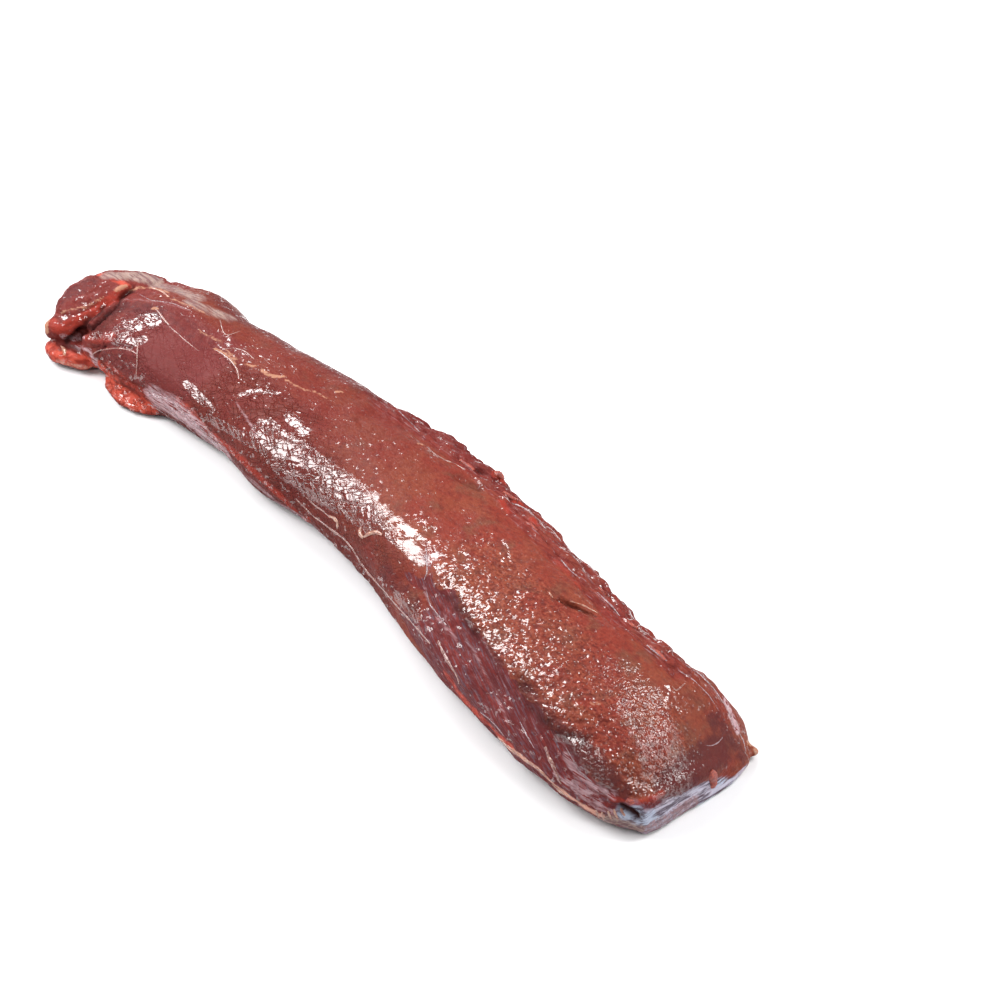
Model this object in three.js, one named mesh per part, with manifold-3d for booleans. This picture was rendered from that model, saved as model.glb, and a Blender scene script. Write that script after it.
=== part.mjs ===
// A raw venison loin: one long trimmed muscle, thick and blunt at one end, thin and ragged at the other.
// Millimetres, +Z up. X runs along the loin from the thin end (-) to the thick end (+). Y runs across it,
// from the smooth near flank (-) to the ragged far edge (+), where it was cut from the backbone.
import * as THREE from "three";
import { ImprovedNoise } from "three/addons/math/ImprovedNoise.js";
import { mergeVertices } from "three/addons/utils/BufferGeometryUtils.js";
import Module from "manifold-3d";

const NEAR = -1;
const FAR = 1;

// Cross-sections of the main muscle: place along the loin, near and far edge, crown height.
const STATIONS = [
  { x: -184, near: -34, far: 34, crown: 28 },
  { x: -168, near: -33, far: 38, crown: 32 },
  { x: -140, near: -32, far: 37, crown: 33 },
  { x: -113, near: -28, far: 41, crown: 32 },
  { x: -88, near: -26, far: 45, crown: 34 },
  { x: -52, near: -30, far: 48, crown: 37 },
  { x: -16, near: -26, far: 50, crown: 40 },
  { x: 20, near: -30, far: 50, crown: 42 },
  { x: 60, near: -39, far: 47, crown: 43 },
  { x: 100, near: -46, far: 41, crown: 44 },
  { x: 135, near: -50, far: 35, crown: 44 },
  { x: 165, near: -51, far: 33, crown: 42 },
  { x: 186, near: -50, far: 35, crown: 37 },
  { x: 200, near: -46, far: 35, crown: 30 },
  { x: 208, near: -39, far: 28, crown: 23 },
];
const BETWEEN_STATIONS = new THREE.CubicInterpolant(
  STATIONS.map((s) => s.x),
  STATIONS.flatMap((s) => [s.near, s.far, s.crown]),
  3,
);
const CROWN_SHARE = 0.45; // where the crown lies between the near and the far edge
const NEAR_BULGE = 0.4; // height of the widest point of each flank, as a share of the crown
const FAR_BULGE = 0.3;
const SAG = 4; // how far the round underside would reach below the table that flattens it
const UPPER_POWER = 2.4; // how square the section is above and below its widest point
const LOWER_POWER = 2.6;

const THIN_CAP = { length: 14, power: 2.2 }; // how each end closes
const THICK_CAP = { length: 7, power: 2.6 };
// The thick end's far corner falls away by this share of its height.
const SLOPE_OFF = { from: 178, to: 212, near: -20, far: 32, share: 0.5 };

const BODY_RINGS = 84;
const CAP_RINGS = 6;
const FLANK_STEPS = 21; // faces from the crown down to the table
const UNDER_STEPS = 3; // faces from there to the middle of the underside

// Strips and flaps of meat that hang on the muscle, each swept along its own line: half width across the line
// and half thickness up and down, from its first end to its last.
const STRIPS = {
  foldedTop: {
    path: [
      [-188, 23, 13],
      [-201, 12, 13],
      [-208, -4, 13],
      [-208, -18, 13],
      [-205, -31, 13],
      [-208, -41, 14],
    ],
    width: [11, 14, 17, 16, 10, 7],
    thickness: [12, 13, 13, 12, 9, 7],
  },
  lowerFlap: {
    path: [[-210, -39, 4], [-197, -37, 5], [-181, -28, 6]],
    width: [5, 8, 8],
    thickness: [4, 5, 6],
  },
  flankFlap: {
    path: [[-178, -25, 3], [-163, -30, 3], [-148, -31, 3], [-136, -26, 3], [-126, -20, 3]],
    width: [5, 8, 8, 6, 4],
    thickness: [3, 3, 3, 3, 2],
  },
  farTip: {
    path: [[194, 18, 4], [203, 25, 4], [210, 32, 3]],
    width: [8, 5, 2],
    thickness: [4, 4, 2],
  },
  edgeKnob: {
    path: [[13, 35, 31], [26, 40, 30], [38, 41, 30]],
    width: [4, 4, 4],
    thickness: [4, 5, 4],
  },
};
const STRIP_RINGS = 14;
const STRIP_AROUND = 16;
const STRIP_POWER = 2.4;
const STRIP_CLOSING = 0.6; // how blunt the ends of a strip are

const SLIT = { path: [[112, 0, 44], [126, 5, 43.5], [141, 9, 42]], width: [1, 1.6, 1], thickness: [3, 5, 3] };

// Long hollows, each with its depth and half width. A place on a flank is [along the loin, height].
const flank = (side, places) => places.map(([x, z]) => flankPoint(x, side, z));
const underRim = flank(NEAR, [[58, 33], [104, 34], [148, 31], [182, 26], [196, 20]]);
const alongSinew = flank(NEAR, [[-36, 21], [-10, 20], [20, 16], [60, 15], [100, 15], [139, 13]]);
const behindFarEdge = flank(FAR, [[-40, 36], [0, 38.5], [60, 41], [140, 40]]);
const bluntEnd = [[214, -28, 11], [216, -8, 10], [213, 14, 7]].map((p) => new THREE.Vector3(...p));
const HOLLOWS = [
  { line: underRim, depth: 3.4, half: 7 },
  { line: alongSinew, depth: 1.4, half: 4 },
  { line: behindFarEdge, depth: 1.6, half: 5 },
  { line: bluntEnd, depth: 2.4, half: 5 },
];

// Uneven relief: its height, how long one bump is along X, Y and Z, and where its pattern starts.
const SWELLS = { height: 1.6, size: [46, 30, 30], start: [3.1, 0, 0] };
const DIMPLES = { height: 0.8, size: [17, 15, 15], start: [0, 7.3, 0] };
const STRIP_DIMPLES = { height: 0.8, size: [9, 9, 9], start: [0, 0, 5.7] };
const CRAGS = { height: 3.4, size: [11, 8, 8], start: [0, 2.7, 0] };
const CRAG_CUT = 1; // how much deeper the crags cut in than they stand out
const CRAG_ALONG = { from: -70, full: -30, fading: 176, to: 196 }; // where the crags are, along the loin
const CRAG_UP = { from: 6, full: 18, fading: 35, to: 40 }; // and in height

const { smoothstep, lerp } = THREE.MathUtils;
const noise = new ImprovedNoise();
const power = (value, n) => Math.sign(value) * Math.abs(value) ** (2 / n);

// 1 inside a range and 0 outside it, with soft ends.
function within(value, { from, full, fading, to }) {
  return smoothstep(value, from, full) * (1 - smoothstep(value, fading, to));
}

function unevenness({ height, size, start }, p) {
  const [x, y, z] = p.toArray().map((value, k) => value / size[k] + start[k]);
  return height * noise.noise(x, y, z);
}

// Where the crown is, how far each flank reaches from it, and at what height that flank is widest.
function flankOf(x, side) {
  const [near, far, crown] = BETWEEN_STATIONS.evaluate(x);
  const middle = near + (far - near) * CROWN_SHARE;
  return {
    crown,
    middle,
    reach: side === NEAR ? middle - near : far - middle,
    bulge: crown * (side === NEAR ? NEAR_BULGE : FAR_BULGE),
  };
}

// One point of a cross-section. The angle starts at the crown and runs down the near flank.
function sectionPoint(x, angle) {
  const across = -Math.sin(angle);
  const { crown, middle, reach, bulge } = flankOf(x, across < 0 ? NEAR : FAR);
  const up = Math.cos(angle);
  const n = up > 0 ? UPPER_POWER : LOWER_POWER;
  const height = up > 0 ? crown - bulge : bulge + SAG;
  return new THREE.Vector3(x, middle + reach * power(across, n), bulge + height * power(up, n));
}

// The point of a flank at a given height.
function flankPoint(x, side, z) {
  const { crown, middle, reach, bulge } = flankOf(x, side);
  const n = z > bulge ? UPPER_POWER : LOWER_POWER;
  const up = Math.abs(z - bulge) / (z > bulge ? crown - bulge : bulge + SAG);
  const across = Math.max(0, 1 - up ** n) ** (1 / n);
  return new THREE.Vector3(x, middle + side * reach * across, z);
}

// Points spaced evenly over a stretch of a cross-section.
function spacedPoints(x, fromAngle, toAngle, steps) {
  const fine = 48;
  const outline = new THREE.CurvePath();
  const at = (k) => sectionPoint(x, lerp(fromAngle, toAngle, k / fine));
  for (let k = 0; k < fine; k++) outline.add(new THREE.LineCurve3(at(k), at(k + 1)));
  return outline.getSpacedPoints(steps);
}

// A ring of points that starts at the crown: close together on the flanks, wide apart on the underside.
function sectionRing(x) {
  const [down, up] = [NEAR, FAR].map((side) => {
    const { bulge } = flankOf(x, side);
    const edge = Math.acos(-((bulge / (bulge + SAG)) ** (LOWER_POWER / 2)));
    return [
      ...spacedPoints(x, 0, -side * edge, FLANK_STEPS),
      ...spacedPoints(x, -side * edge, -side * Math.PI, UNDER_STEPS).slice(1),
    ];
  });
  return [...down.slice(0, -1), ...up.slice(1).reverse()];
}

// Rings of the main muscle from end to end; the cap rings shrink towards the middle of the last section.
function muscleRings() {
  const first = STATIONS[0].x;
  const last = STATIONS[STATIONS.length - 1].x;
  const rings = [];
  const capRing = (x, cap, outward, share) => {
    const turn = (share * Math.PI) / 2;
    const scale = Math.cos(turn) ** (2 / cap.power);
    const away = outward * cap.length * Math.sin(turn) ** (2 / cap.power);
    const ring = sectionRing(x);
    const centre = new THREE.Box3().setFromPoints(ring).getCenter(new THREE.Vector3());
    return ring.map((p) => p.sub(centre).multiplyScalar(scale).add(centre).setX(x + away));
  };
  for (let k = CAP_RINGS - 1; k >= 1; k--) rings.push(capRing(first, THIN_CAP, -1, k / CAP_RINGS));
  for (let k = 0; k <= BODY_RINGS; k++) rings.push(sectionRing(first + ((last - first) * k) / BODY_RINGS));
  for (let k = 1; k < CAP_RINGS; k++) rings.push(capRing(last, THICK_CAP, 1, k / CAP_RINGS));
  const { from, to, near, far, share } = SLOPE_OFF;
  for (const p of rings.flat()) {
    p.z *= 1 - share * smoothstep(p.x, from, to) * smoothstep(p.y, near, far);
  }
  return rings;
}

// Rings of a strip, square to its line, that close over a short round end at each side.
function stripRings({ path, width, thickness }) {
  const line = new THREE.CatmullRomCurve3(path.map((p) => new THREE.Vector3(...p)));
  const sizes = new THREE.CatmullRomCurve3(path.map((_, k) => new THREE.Vector3(width[k], thickness[k], 0)));
  const rings = [];
  for (let i = 0; i < STRIP_RINGS; i++) {
    const turn = (Math.PI * (i + 0.5)) / STRIP_RINGS;
    const share = (1 - Math.cos(turn)) / 2;
    const centre = line.getPoint(share);
    const size = sizes.getPoint(share).multiplyScalar(Math.sin(turn) ** STRIP_CLOSING);
    const side = line.getTangent(share).cross(new THREE.Vector3(0, 0, 1)).normalize();
    const up = side.clone().cross(line.getTangent(share));
    rings.push(
      Array.from({ length: STRIP_AROUND }, (_, j) => {
        const angle = (2 * Math.PI * j) / STRIP_AROUND;
        return centre
          .clone()
          .addScaledVector(side, size.x * power(Math.sin(angle), STRIP_POWER))
          .addScaledVector(up, size.y * power(Math.cos(angle), STRIP_POWER));
      }),
    );
  }
  return rings;
}

function middleOf(points) {
  const sum = points.reduce((total, p) => total.add(p), new THREE.Vector3());
  return sum.divideScalar(points.length);
}

// A closed skin over a stack of rings, with a fan at each end.
function skin(rings) {
  const around = rings[0].length;
  const points = [...rings.flat(), middleOf(rings[0]), middleOf(rings[rings.length - 1])];
  const index = [];
  for (let i = 0; i + 1 < rings.length; i++) {
    for (let j = 0; j < around; j++) {
      const a = i * around + j;
      const b = i * around + ((j + 1) % around);
      index.push(a, b, a + around, b, b + around, a + around);
    }
  }
  const lastRing = (rings.length - 1) * around;
  for (let j = 0; j < around; j++) {
    const next = (j + 1) % around;
    index.push(points.length - 2, next, j);
    index.push(points.length - 1, lastRing + j, lastRing + next);
  }
  const geometry = new THREE.BufferGeometry().setFromPoints(points);
  geometry.setIndex(index);
  geometry.computeVertexNormals();
  return geometry;
}

// Moves each vertex along its normal by relief(point), and presses flat what would sink into the table.
function shaped(geometry, relief) {
  const position = geometry.getAttribute("position");
  const normal = geometry.getAttribute("normal");
  const p = new THREE.Vector3();
  const n = new THREE.Vector3();
  for (let k = 0; k < position.count; k++) {
    p.fromBufferAttribute(position, k);
    n.fromBufferAttribute(normal, k);
    p.addScaledVector(n, relief(p));
    position.setXYZ(k, p.x, p.y, Math.max(0, p.z));
  }
  return geometry;
}

// How deep a hollow lies at a point: full along its line, fading over its half width.
const hollowLines = HOLLOWS.map(({ line }) => new THREE.CatmullRomCurve3(line).getPoints(60));
function hollowAt(p) {
  return HOLLOWS.reduce((sum, { depth, half }, k) => {
    const away = Math.min(...hollowLines[k].map((q) => q.distanceTo(p)));
    return sum + depth * Math.exp(-((away / half) ** 2));
  }, 0);
}

// Crags where the far edge was cut from the bone; they fade out towards the top, the underside and both ends.
function cragAt(p) {
  if (p.y < flankOf(p.x, FAR).middle) return 0;
  return within(p.x, CRAG_ALONG) * within(p.z, CRAG_UP) * (unevenness(CRAGS, p) - CRAG_CUT);
}

const muscleRelief = (p) => unevenness(SWELLS, p) + unevenness(DIMPLES, p) + cragAt(p) - hollowAt(p);
const stripRelief = (p) => unevenness(STRIP_DIMPLES, p);

const wasm = await Module();
wasm.setup();

function solidOf(geometry) {
  const bare = geometry.clone();
  bare.deleteAttribute("normal");
  bare.deleteAttribute("uv");
  const merged = mergeVertices(bare, 1e-3);
  return new wasm.Manifold(
    new wasm.Mesh({
      numProp: 3,
      vertProperties: merged.getAttribute("position").array,
      triVerts: new Uint32Array(merged.index.array),
    }),
  );
}

function geometryOf(solid) {
  const mesh = solid.getMesh();
  const geometry = new THREE.BufferGeometry();
  geometry.setAttribute("position", new THREE.BufferAttribute(mesh.vertProperties, 3));
  geometry.setIndex(new THREE.BufferAttribute(mesh.triVerts, 1));
  geometry.computeVertexNormals();
  geometry.computeBoundingBox();
  return geometry;
}

function loinGeometry() {
  let solid = solidOf(shaped(skin(muscleRings()), muscleRelief));
  for (const strip of Object.values(STRIPS)) {
    solid = solid.add(solidOf(shaped(skin(stripRings(strip)), stripRelief)));
  }
  return geometryOf(solid.subtract(solidOf(skin(stripRings(SLIT)))));
}

const meat = new THREE.MeshStandardMaterial({ color: 0x7a3228, roughness: 0.35, metalness: 0 });
const loin = new THREE.Mesh(loinGeometry(), meat);
loin.name = "loin";

// The origin is on the table, under the middle of the loin's box.
const middle = loin.geometry.boundingBox.getCenter(new THREE.Vector3());
loin.position.set(-middle.x, -middle.y, 0);

const part = new THREE.Group();
part.add(loin);
export default part;
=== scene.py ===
import math

import bpy
import numpy as np
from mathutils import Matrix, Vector, noise
from mathutils.bvhtree import BVHTree


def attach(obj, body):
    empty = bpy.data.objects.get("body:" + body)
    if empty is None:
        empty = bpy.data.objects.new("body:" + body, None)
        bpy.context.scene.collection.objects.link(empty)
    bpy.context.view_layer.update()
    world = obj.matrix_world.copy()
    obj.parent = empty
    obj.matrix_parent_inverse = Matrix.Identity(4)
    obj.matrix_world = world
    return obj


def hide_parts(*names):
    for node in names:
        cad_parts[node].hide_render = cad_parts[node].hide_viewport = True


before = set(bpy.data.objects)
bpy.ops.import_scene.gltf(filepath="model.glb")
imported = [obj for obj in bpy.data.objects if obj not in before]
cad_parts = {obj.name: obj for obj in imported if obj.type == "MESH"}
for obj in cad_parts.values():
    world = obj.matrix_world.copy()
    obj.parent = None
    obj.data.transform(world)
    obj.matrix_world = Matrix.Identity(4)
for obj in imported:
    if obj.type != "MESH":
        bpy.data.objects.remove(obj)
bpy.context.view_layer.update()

# A raw venison loin: wet meat with its film of connective tissue, sinew, shreds of fat and torn edges.
# Lengths are in metres, and sizes of relief and of small pieces are written in millimetres times MM.
MM = 0.001

# The camera looks down at the near side and the thick end, as the photograph does.
AZIMUTH = math.radians(49)
ELEVATION = math.radians(42)
CAMERA_DISTANCE = 1.28
CAMERA_AIM = Vector((0.0234, 0.0563, 0))
LENS = 100
SENSOR = 36
PHOTO_SIZE = 1000

BACK = Vector((
    math.sin(AZIMUTH) * math.cos(ELEVATION),
    -math.cos(AZIMUTH) * math.cos(ELEVATION),
    math.sin(ELEVATION),
))
IMAGE_RIGHT = Vector((math.cos(AZIMUTH), math.sin(AZIMUTH), 0))
IMAGE_UP = BACK.cross(IMAGE_RIGHT)
AWAY = Vector((-math.sin(AZIMUTH), math.cos(AZIMUTH), 0))
CAMERA_PLACE = CAMERA_AIM + BACK * CAMERA_DISTANCE

# Where the near and the far edge of the loin are along its length, read from its solid.
SLICE = 8 * MM


def outline_of_solid():
    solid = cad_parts["loin"].data
    points = np.array([v.co for v in solid.vertices])
    places = np.arange(points[:, 0].min(), points[:, 0].max() + SLICE, SLICE)
    near, far = [], []
    for place in places:
        band = points[np.abs(points[:, 0] - place) < SLICE]
        near.append(band[:, 1].min())
        far.append(band[:, 1].max())
    return places, near, far


OUTLINE = outline_of_solid()


def deselect():
    bpy.ops.object.select_all(action="DESELECT")


def make_active(piece):
    deselect()
    piece.select_set(True)
    bpy.context.view_layer.objects.active = piece


def apply_modifier(piece, kind, **settings):
    make_active(piece)
    bpy.ops.object.modifier_add(type=kind)
    modifier = piece.modifiers[-1]
    for name, value in settings.items():
        setattr(modifier, name, value)
    bpy.ops.object.modifier_apply(modifier=modifier.name)


def edit(piece, *steps):
    make_active(piece)
    bpy.ops.object.mode_set(mode="EDIT")
    bpy.ops.mesh.select_all(action="SELECT")
    for step in steps:
        step()
    bpy.ops.object.mode_set(mode="OBJECT")


def ramp(value, low, high):
    share = np.clip((value - low) / (high - low), 0, 1)
    return share * share * (3 - 2 * share)


def between(value, low, high, soft):
    return ramp(value, low - soft, low + soft) * (1 - ramp(value, high - soft, high + soft))


def uneven(points, size, start=(0, 0, 0)):
    """Smooth noise from about -1 to 1 at each point; size is how long a bump is, in millimetres."""
    places = points / (np.array(size) * MM) + np.array(start)
    return np.array([noise.noise(Vector(place)) for place in places])


def creases(points, size, width, start=(0, 0, 0)):
    """1 along thin winding lines and 0 elsewhere."""
    return 1 - ramp(np.abs(uneven(points, size, start)), 0, width)


def turned(points, turn, tilt):
    """The points turned so that a pattern stretched along X runs turned about Z and tilted about Y."""
    x, y, z = points.T
    x, y = math.cos(turn) * x + math.sin(turn) * y, math.cos(turn) * y - math.sin(turn) * x
    x, z = math.cos(tilt) * x - math.sin(tilt) * z, math.cos(tilt) * z + math.sin(tilt) * x
    return np.stack([x, y, z], 1)


def points_of(piece):
    points = np.empty(len(piece.data.vertices) * 3)
    piece.data.vertices.foreach_get("co", points)
    return points.reshape(-1, 3)


def normals_of(piece):
    normals = np.empty(len(piece.data.vertices) * 3)
    piece.data.vertex_normals.foreach_get("vector", normals)
    return normals.reshape(-1, 3)


def move_points(piece, points):
    piece.data.vertices.foreach_set("co", points.ravel())
    piece.data.update()


# Places on the meat given by pixels of the photograph


def surface_of(piece):
    make_active(piece)
    return BVHTree.FromObject(piece, bpy.context.evaluated_depsgraph_get())


def sight(pixel):
    focal = LENS / SENSOR * PHOTO_SIZE
    u, v = pixel
    side = IMAGE_RIGHT * ((u - PHOTO_SIZE / 2) / focal)
    up = IMAGE_UP * ((PHOTO_SIZE / 2 - v) / focal)
    return (side + up - BACK).normalized()


# Where a line of sight passes beside the meat, the nearest point is taken, and a higher one is preferred.
HEIGHTS_TRIED = range(1, 55, 3)
PULL_UPWARDS = 0.3


def spot(surface, pixel):
    """The point of the surface seen at a pixel, or else the one nearest to the line of sight."""
    ray = sight(pixel)
    hit, normal = surface.ray_cast(CAMERA_PLACE, ray)[:2]
    if hit is None:
        beside = []
        for height in HEIGHTS_TRIED:
            on_ray = CAMERA_PLACE + ray * ((CAMERA_PLACE.z - height * MM) / -ray.z)
            beside.append(surface.find_nearest(on_ray))
        hit, normal = min(beside, key=lambda found: found[3] - PULL_UPWARDS * found[0].z)[:2]
    return hit, normal


# How many pixels apart the points of a trail are, for a strand and for a stroke of colour.
STRAND_STEP = 1.5
STROKE_STEP = 4


def trail(pixels, step):
    """Pixels spaced evenly along a smooth line through the given ones."""
    pixels = np.array(pixels, float)
    run = np.concatenate([[0], np.cumsum(np.linalg.norm(np.diff(pixels, axis=0), axis=1))])
    count = max(4, int(run[-1] / step) + 1)
    places = np.linspace(0, run[-1], count)
    line = np.stack([np.interp(places, run, pixels[:, k]) for k in range(2)], 1)
    for _ in range(2):
        line[1:-1] = (line[:-2] + 2 * line[1:-1] + line[2:]) / 4
    return line


FAR = 99.0
REACH = 12 * MM


def away_from_line(points, line):
    """Distance in millimetres from each point to a line of points; FAR for points beyond its reach."""
    low, high = line.min(0) - REACH, line.max(0) + REACH
    close = np.nonzero(((points > low) & (points < high)).all(1))[0]
    nearest = np.full(len(close), np.inf)
    for start, end in zip(line[:-1], line[1:]):
        along = end - start
        offset = points[close] - start
        share = np.clip((offset @ along) / max(along @ along, 1e-12), 0, 1)
        nearest = np.minimum(nearest, np.linalg.norm(offset - share[:, None] * along, axis=1))
    distance = np.full(len(points), FAR)
    distance[close] = nearest / MM
    return distance


def away_from_trail(points, surface, pixels):
    line = np.array([spot(surface, pixel)[0] for pixel in trail(pixels, STROKE_STEP)])
    return away_from_line(points, line)


# The meat itself

VOXEL = 0.97 * MM
UNDERSIDE = 0.02 * MM
SAME_POINT = 0.01 * MM


def dissolve_underside(piece):
    """Turns the flat underside into one face."""
    edit(piece, lambda: bpy.ops.mesh.select_all(action="DESELECT"))
    heights = points_of(piece)[:, 2]
    for face in piece.data.polygons:
        face.select = all(heights[k] < UNDERSIDE for k in face.vertices)
    make_active(piece)
    bpy.ops.object.mode_set(mode="EDIT")
    bpy.ops.mesh.select_mode(type="FACE")
    bpy.ops.mesh.dissolve_faces()
    bpy.ops.object.mode_set(mode="OBJECT")


def body_mesh():
    """The solid of the loin as an even mesh, smoothed, and smoothed more behind its folded thin end."""
    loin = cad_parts["loin"]
    meat = bpy.data.objects.new("meat", loin.data.copy())
    bpy.context.collection.objects.link(meat)
    edit(meat, lambda: bpy.ops.mesh.remove_doubles(threshold=SAME_POINT))
    apply_modifier(meat, "REMESH", mode="VOXEL", voxel_size=VOXEL)
    apply_modifier(meat, "SMOOTH", factor=0.5, iterations=4)
    body = meat.vertex_groups.new(name="body")
    places = points_of(meat)[:, 0] / MM
    for k, share in enumerate(ramp(places, -165, -145)):
        body.add([k], float(share), "REPLACE")
    apply_modifier(meat, "SMOOTH", factor=0.5, iterations=8, vertex_group="body")
    return meat


class Places:
    """Where each point of the meat is, how far across it, on which side, and how nearly on the floor."""

    def __init__(self, points):
        self.points = points
        self.x, self.y, self.z = (points / MM).T
        places, near, far = OUTLINE
        near_edge = np.interp(points[:, 0], places, near) / MM
        far_edge = np.interp(points[:, 0], places, far) / MM
        middle = near_edge * 0.55 + far_edge * 0.45
        half = np.where(self.y < middle, middle - near_edge, far_edge - middle)
        self.across = (self.y - middle) / half
        self.near = 1 - ramp(self.across, -0.15, 0.15)
        self.lying = 1 - ramp(self.z, 0.2, 1.5)


# Height of the line on the near flank of the thick half where the bumpy top ends and the smooth flank begins.
TOP_BORDER_ALONG = [66, 80, 92, 109, 131, 142, 152, 160, 170, 182, 193, 201, 212]
TOP_BORDER_HEIGHT = [41, 39.6, 39.4, 37, 36.8, 36.4, 35, 34, 32.8, 31, 26, 23, 20]
# Height of the line below which a pale film wraps the near edge.
FILM_ALONG = [-60, -20, 0, 20, 52, 89, 123, 144, 165, 185, 200, 212]
FILM_HEIGHT = [5, 9, 8, 7, 7, 6, 3, 2, 2, 3, 6, 8]

# Dents and cuts of the surface, along lines of pixels of the photograph: half width and depth in millimetres.
# A depth below zero is a ridge.
CUTS = {
    "crevice": ([(112, 306), (101, 317), (91, 326), (82, 333)], 2.1, 3.4),
    "crevice_top": ([(134, 287), (123, 296), (112, 306)], 1.1, 2.0),
    "crevice_foot": ([(80, 330), (73, 336), (66, 341)], 1.0, 1.8),
    "under_nub": ([(52, 341), (60, 343), (70, 346), (80, 352), (88, 362)], 1.0, 1.6),
    "lobe_groove": ([(57, 312), (70, 316), (84, 311), (96, 305)], 0.9, 0.8),
    "middle_fold": ([(92, 348), (105, 346), (118, 345), (132, 348)], 1.0, 1.1),
    "lower_fold": ([(100, 362), (108, 370), (118, 378), (130, 384), (146, 388)], 1.1, 1.2),
    "beside_grey_fold": ([(104, 345), (98, 352), (95, 360), (96, 368)], 0.9, 1.2),
    "slit": ([(549, 596), (557, 601), (568, 605), (580, 610), (589, 614), (597, 617)], 0.5, 0.4),
    "under_border_one": ([(452, 604), (462, 620), (474, 640)], 3.6, 1.4),
    "under_border_two": ([(522, 684), (532, 691), (541, 694)], 3.2, 1.0),
    "under_border_three": ([(531, 711), (541, 717), (549, 724)], 3.2, 0.9),
    "under_border_four": ([(552, 731), (562, 735), (572, 737)], 2.8, 0.8),
    "lip": ([(612, 800), (626, 804), (640, 803), (654, 798), (664, 791)], 2.0, -1.2),
    "pit_on_top": ([(358, 420), (363, 426)], 1.5, 0.9),
    "end_corner": ([(622, 806), (630, 810), (636, 816)], 1.8, 2.6),
    "far_edge_gap": ([(500, 488), (510, 497), (520, 503), (534, 511)], 1.1, 1.4),
    "far_edge_split": ([(585, 566), (598, 580), (612, 596), (624, 610)], 1.1, 1.2),
    "far_hollow": ([(458, 477), (470, 484), (480, 487)], 2.6, 1.6),
}

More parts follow.
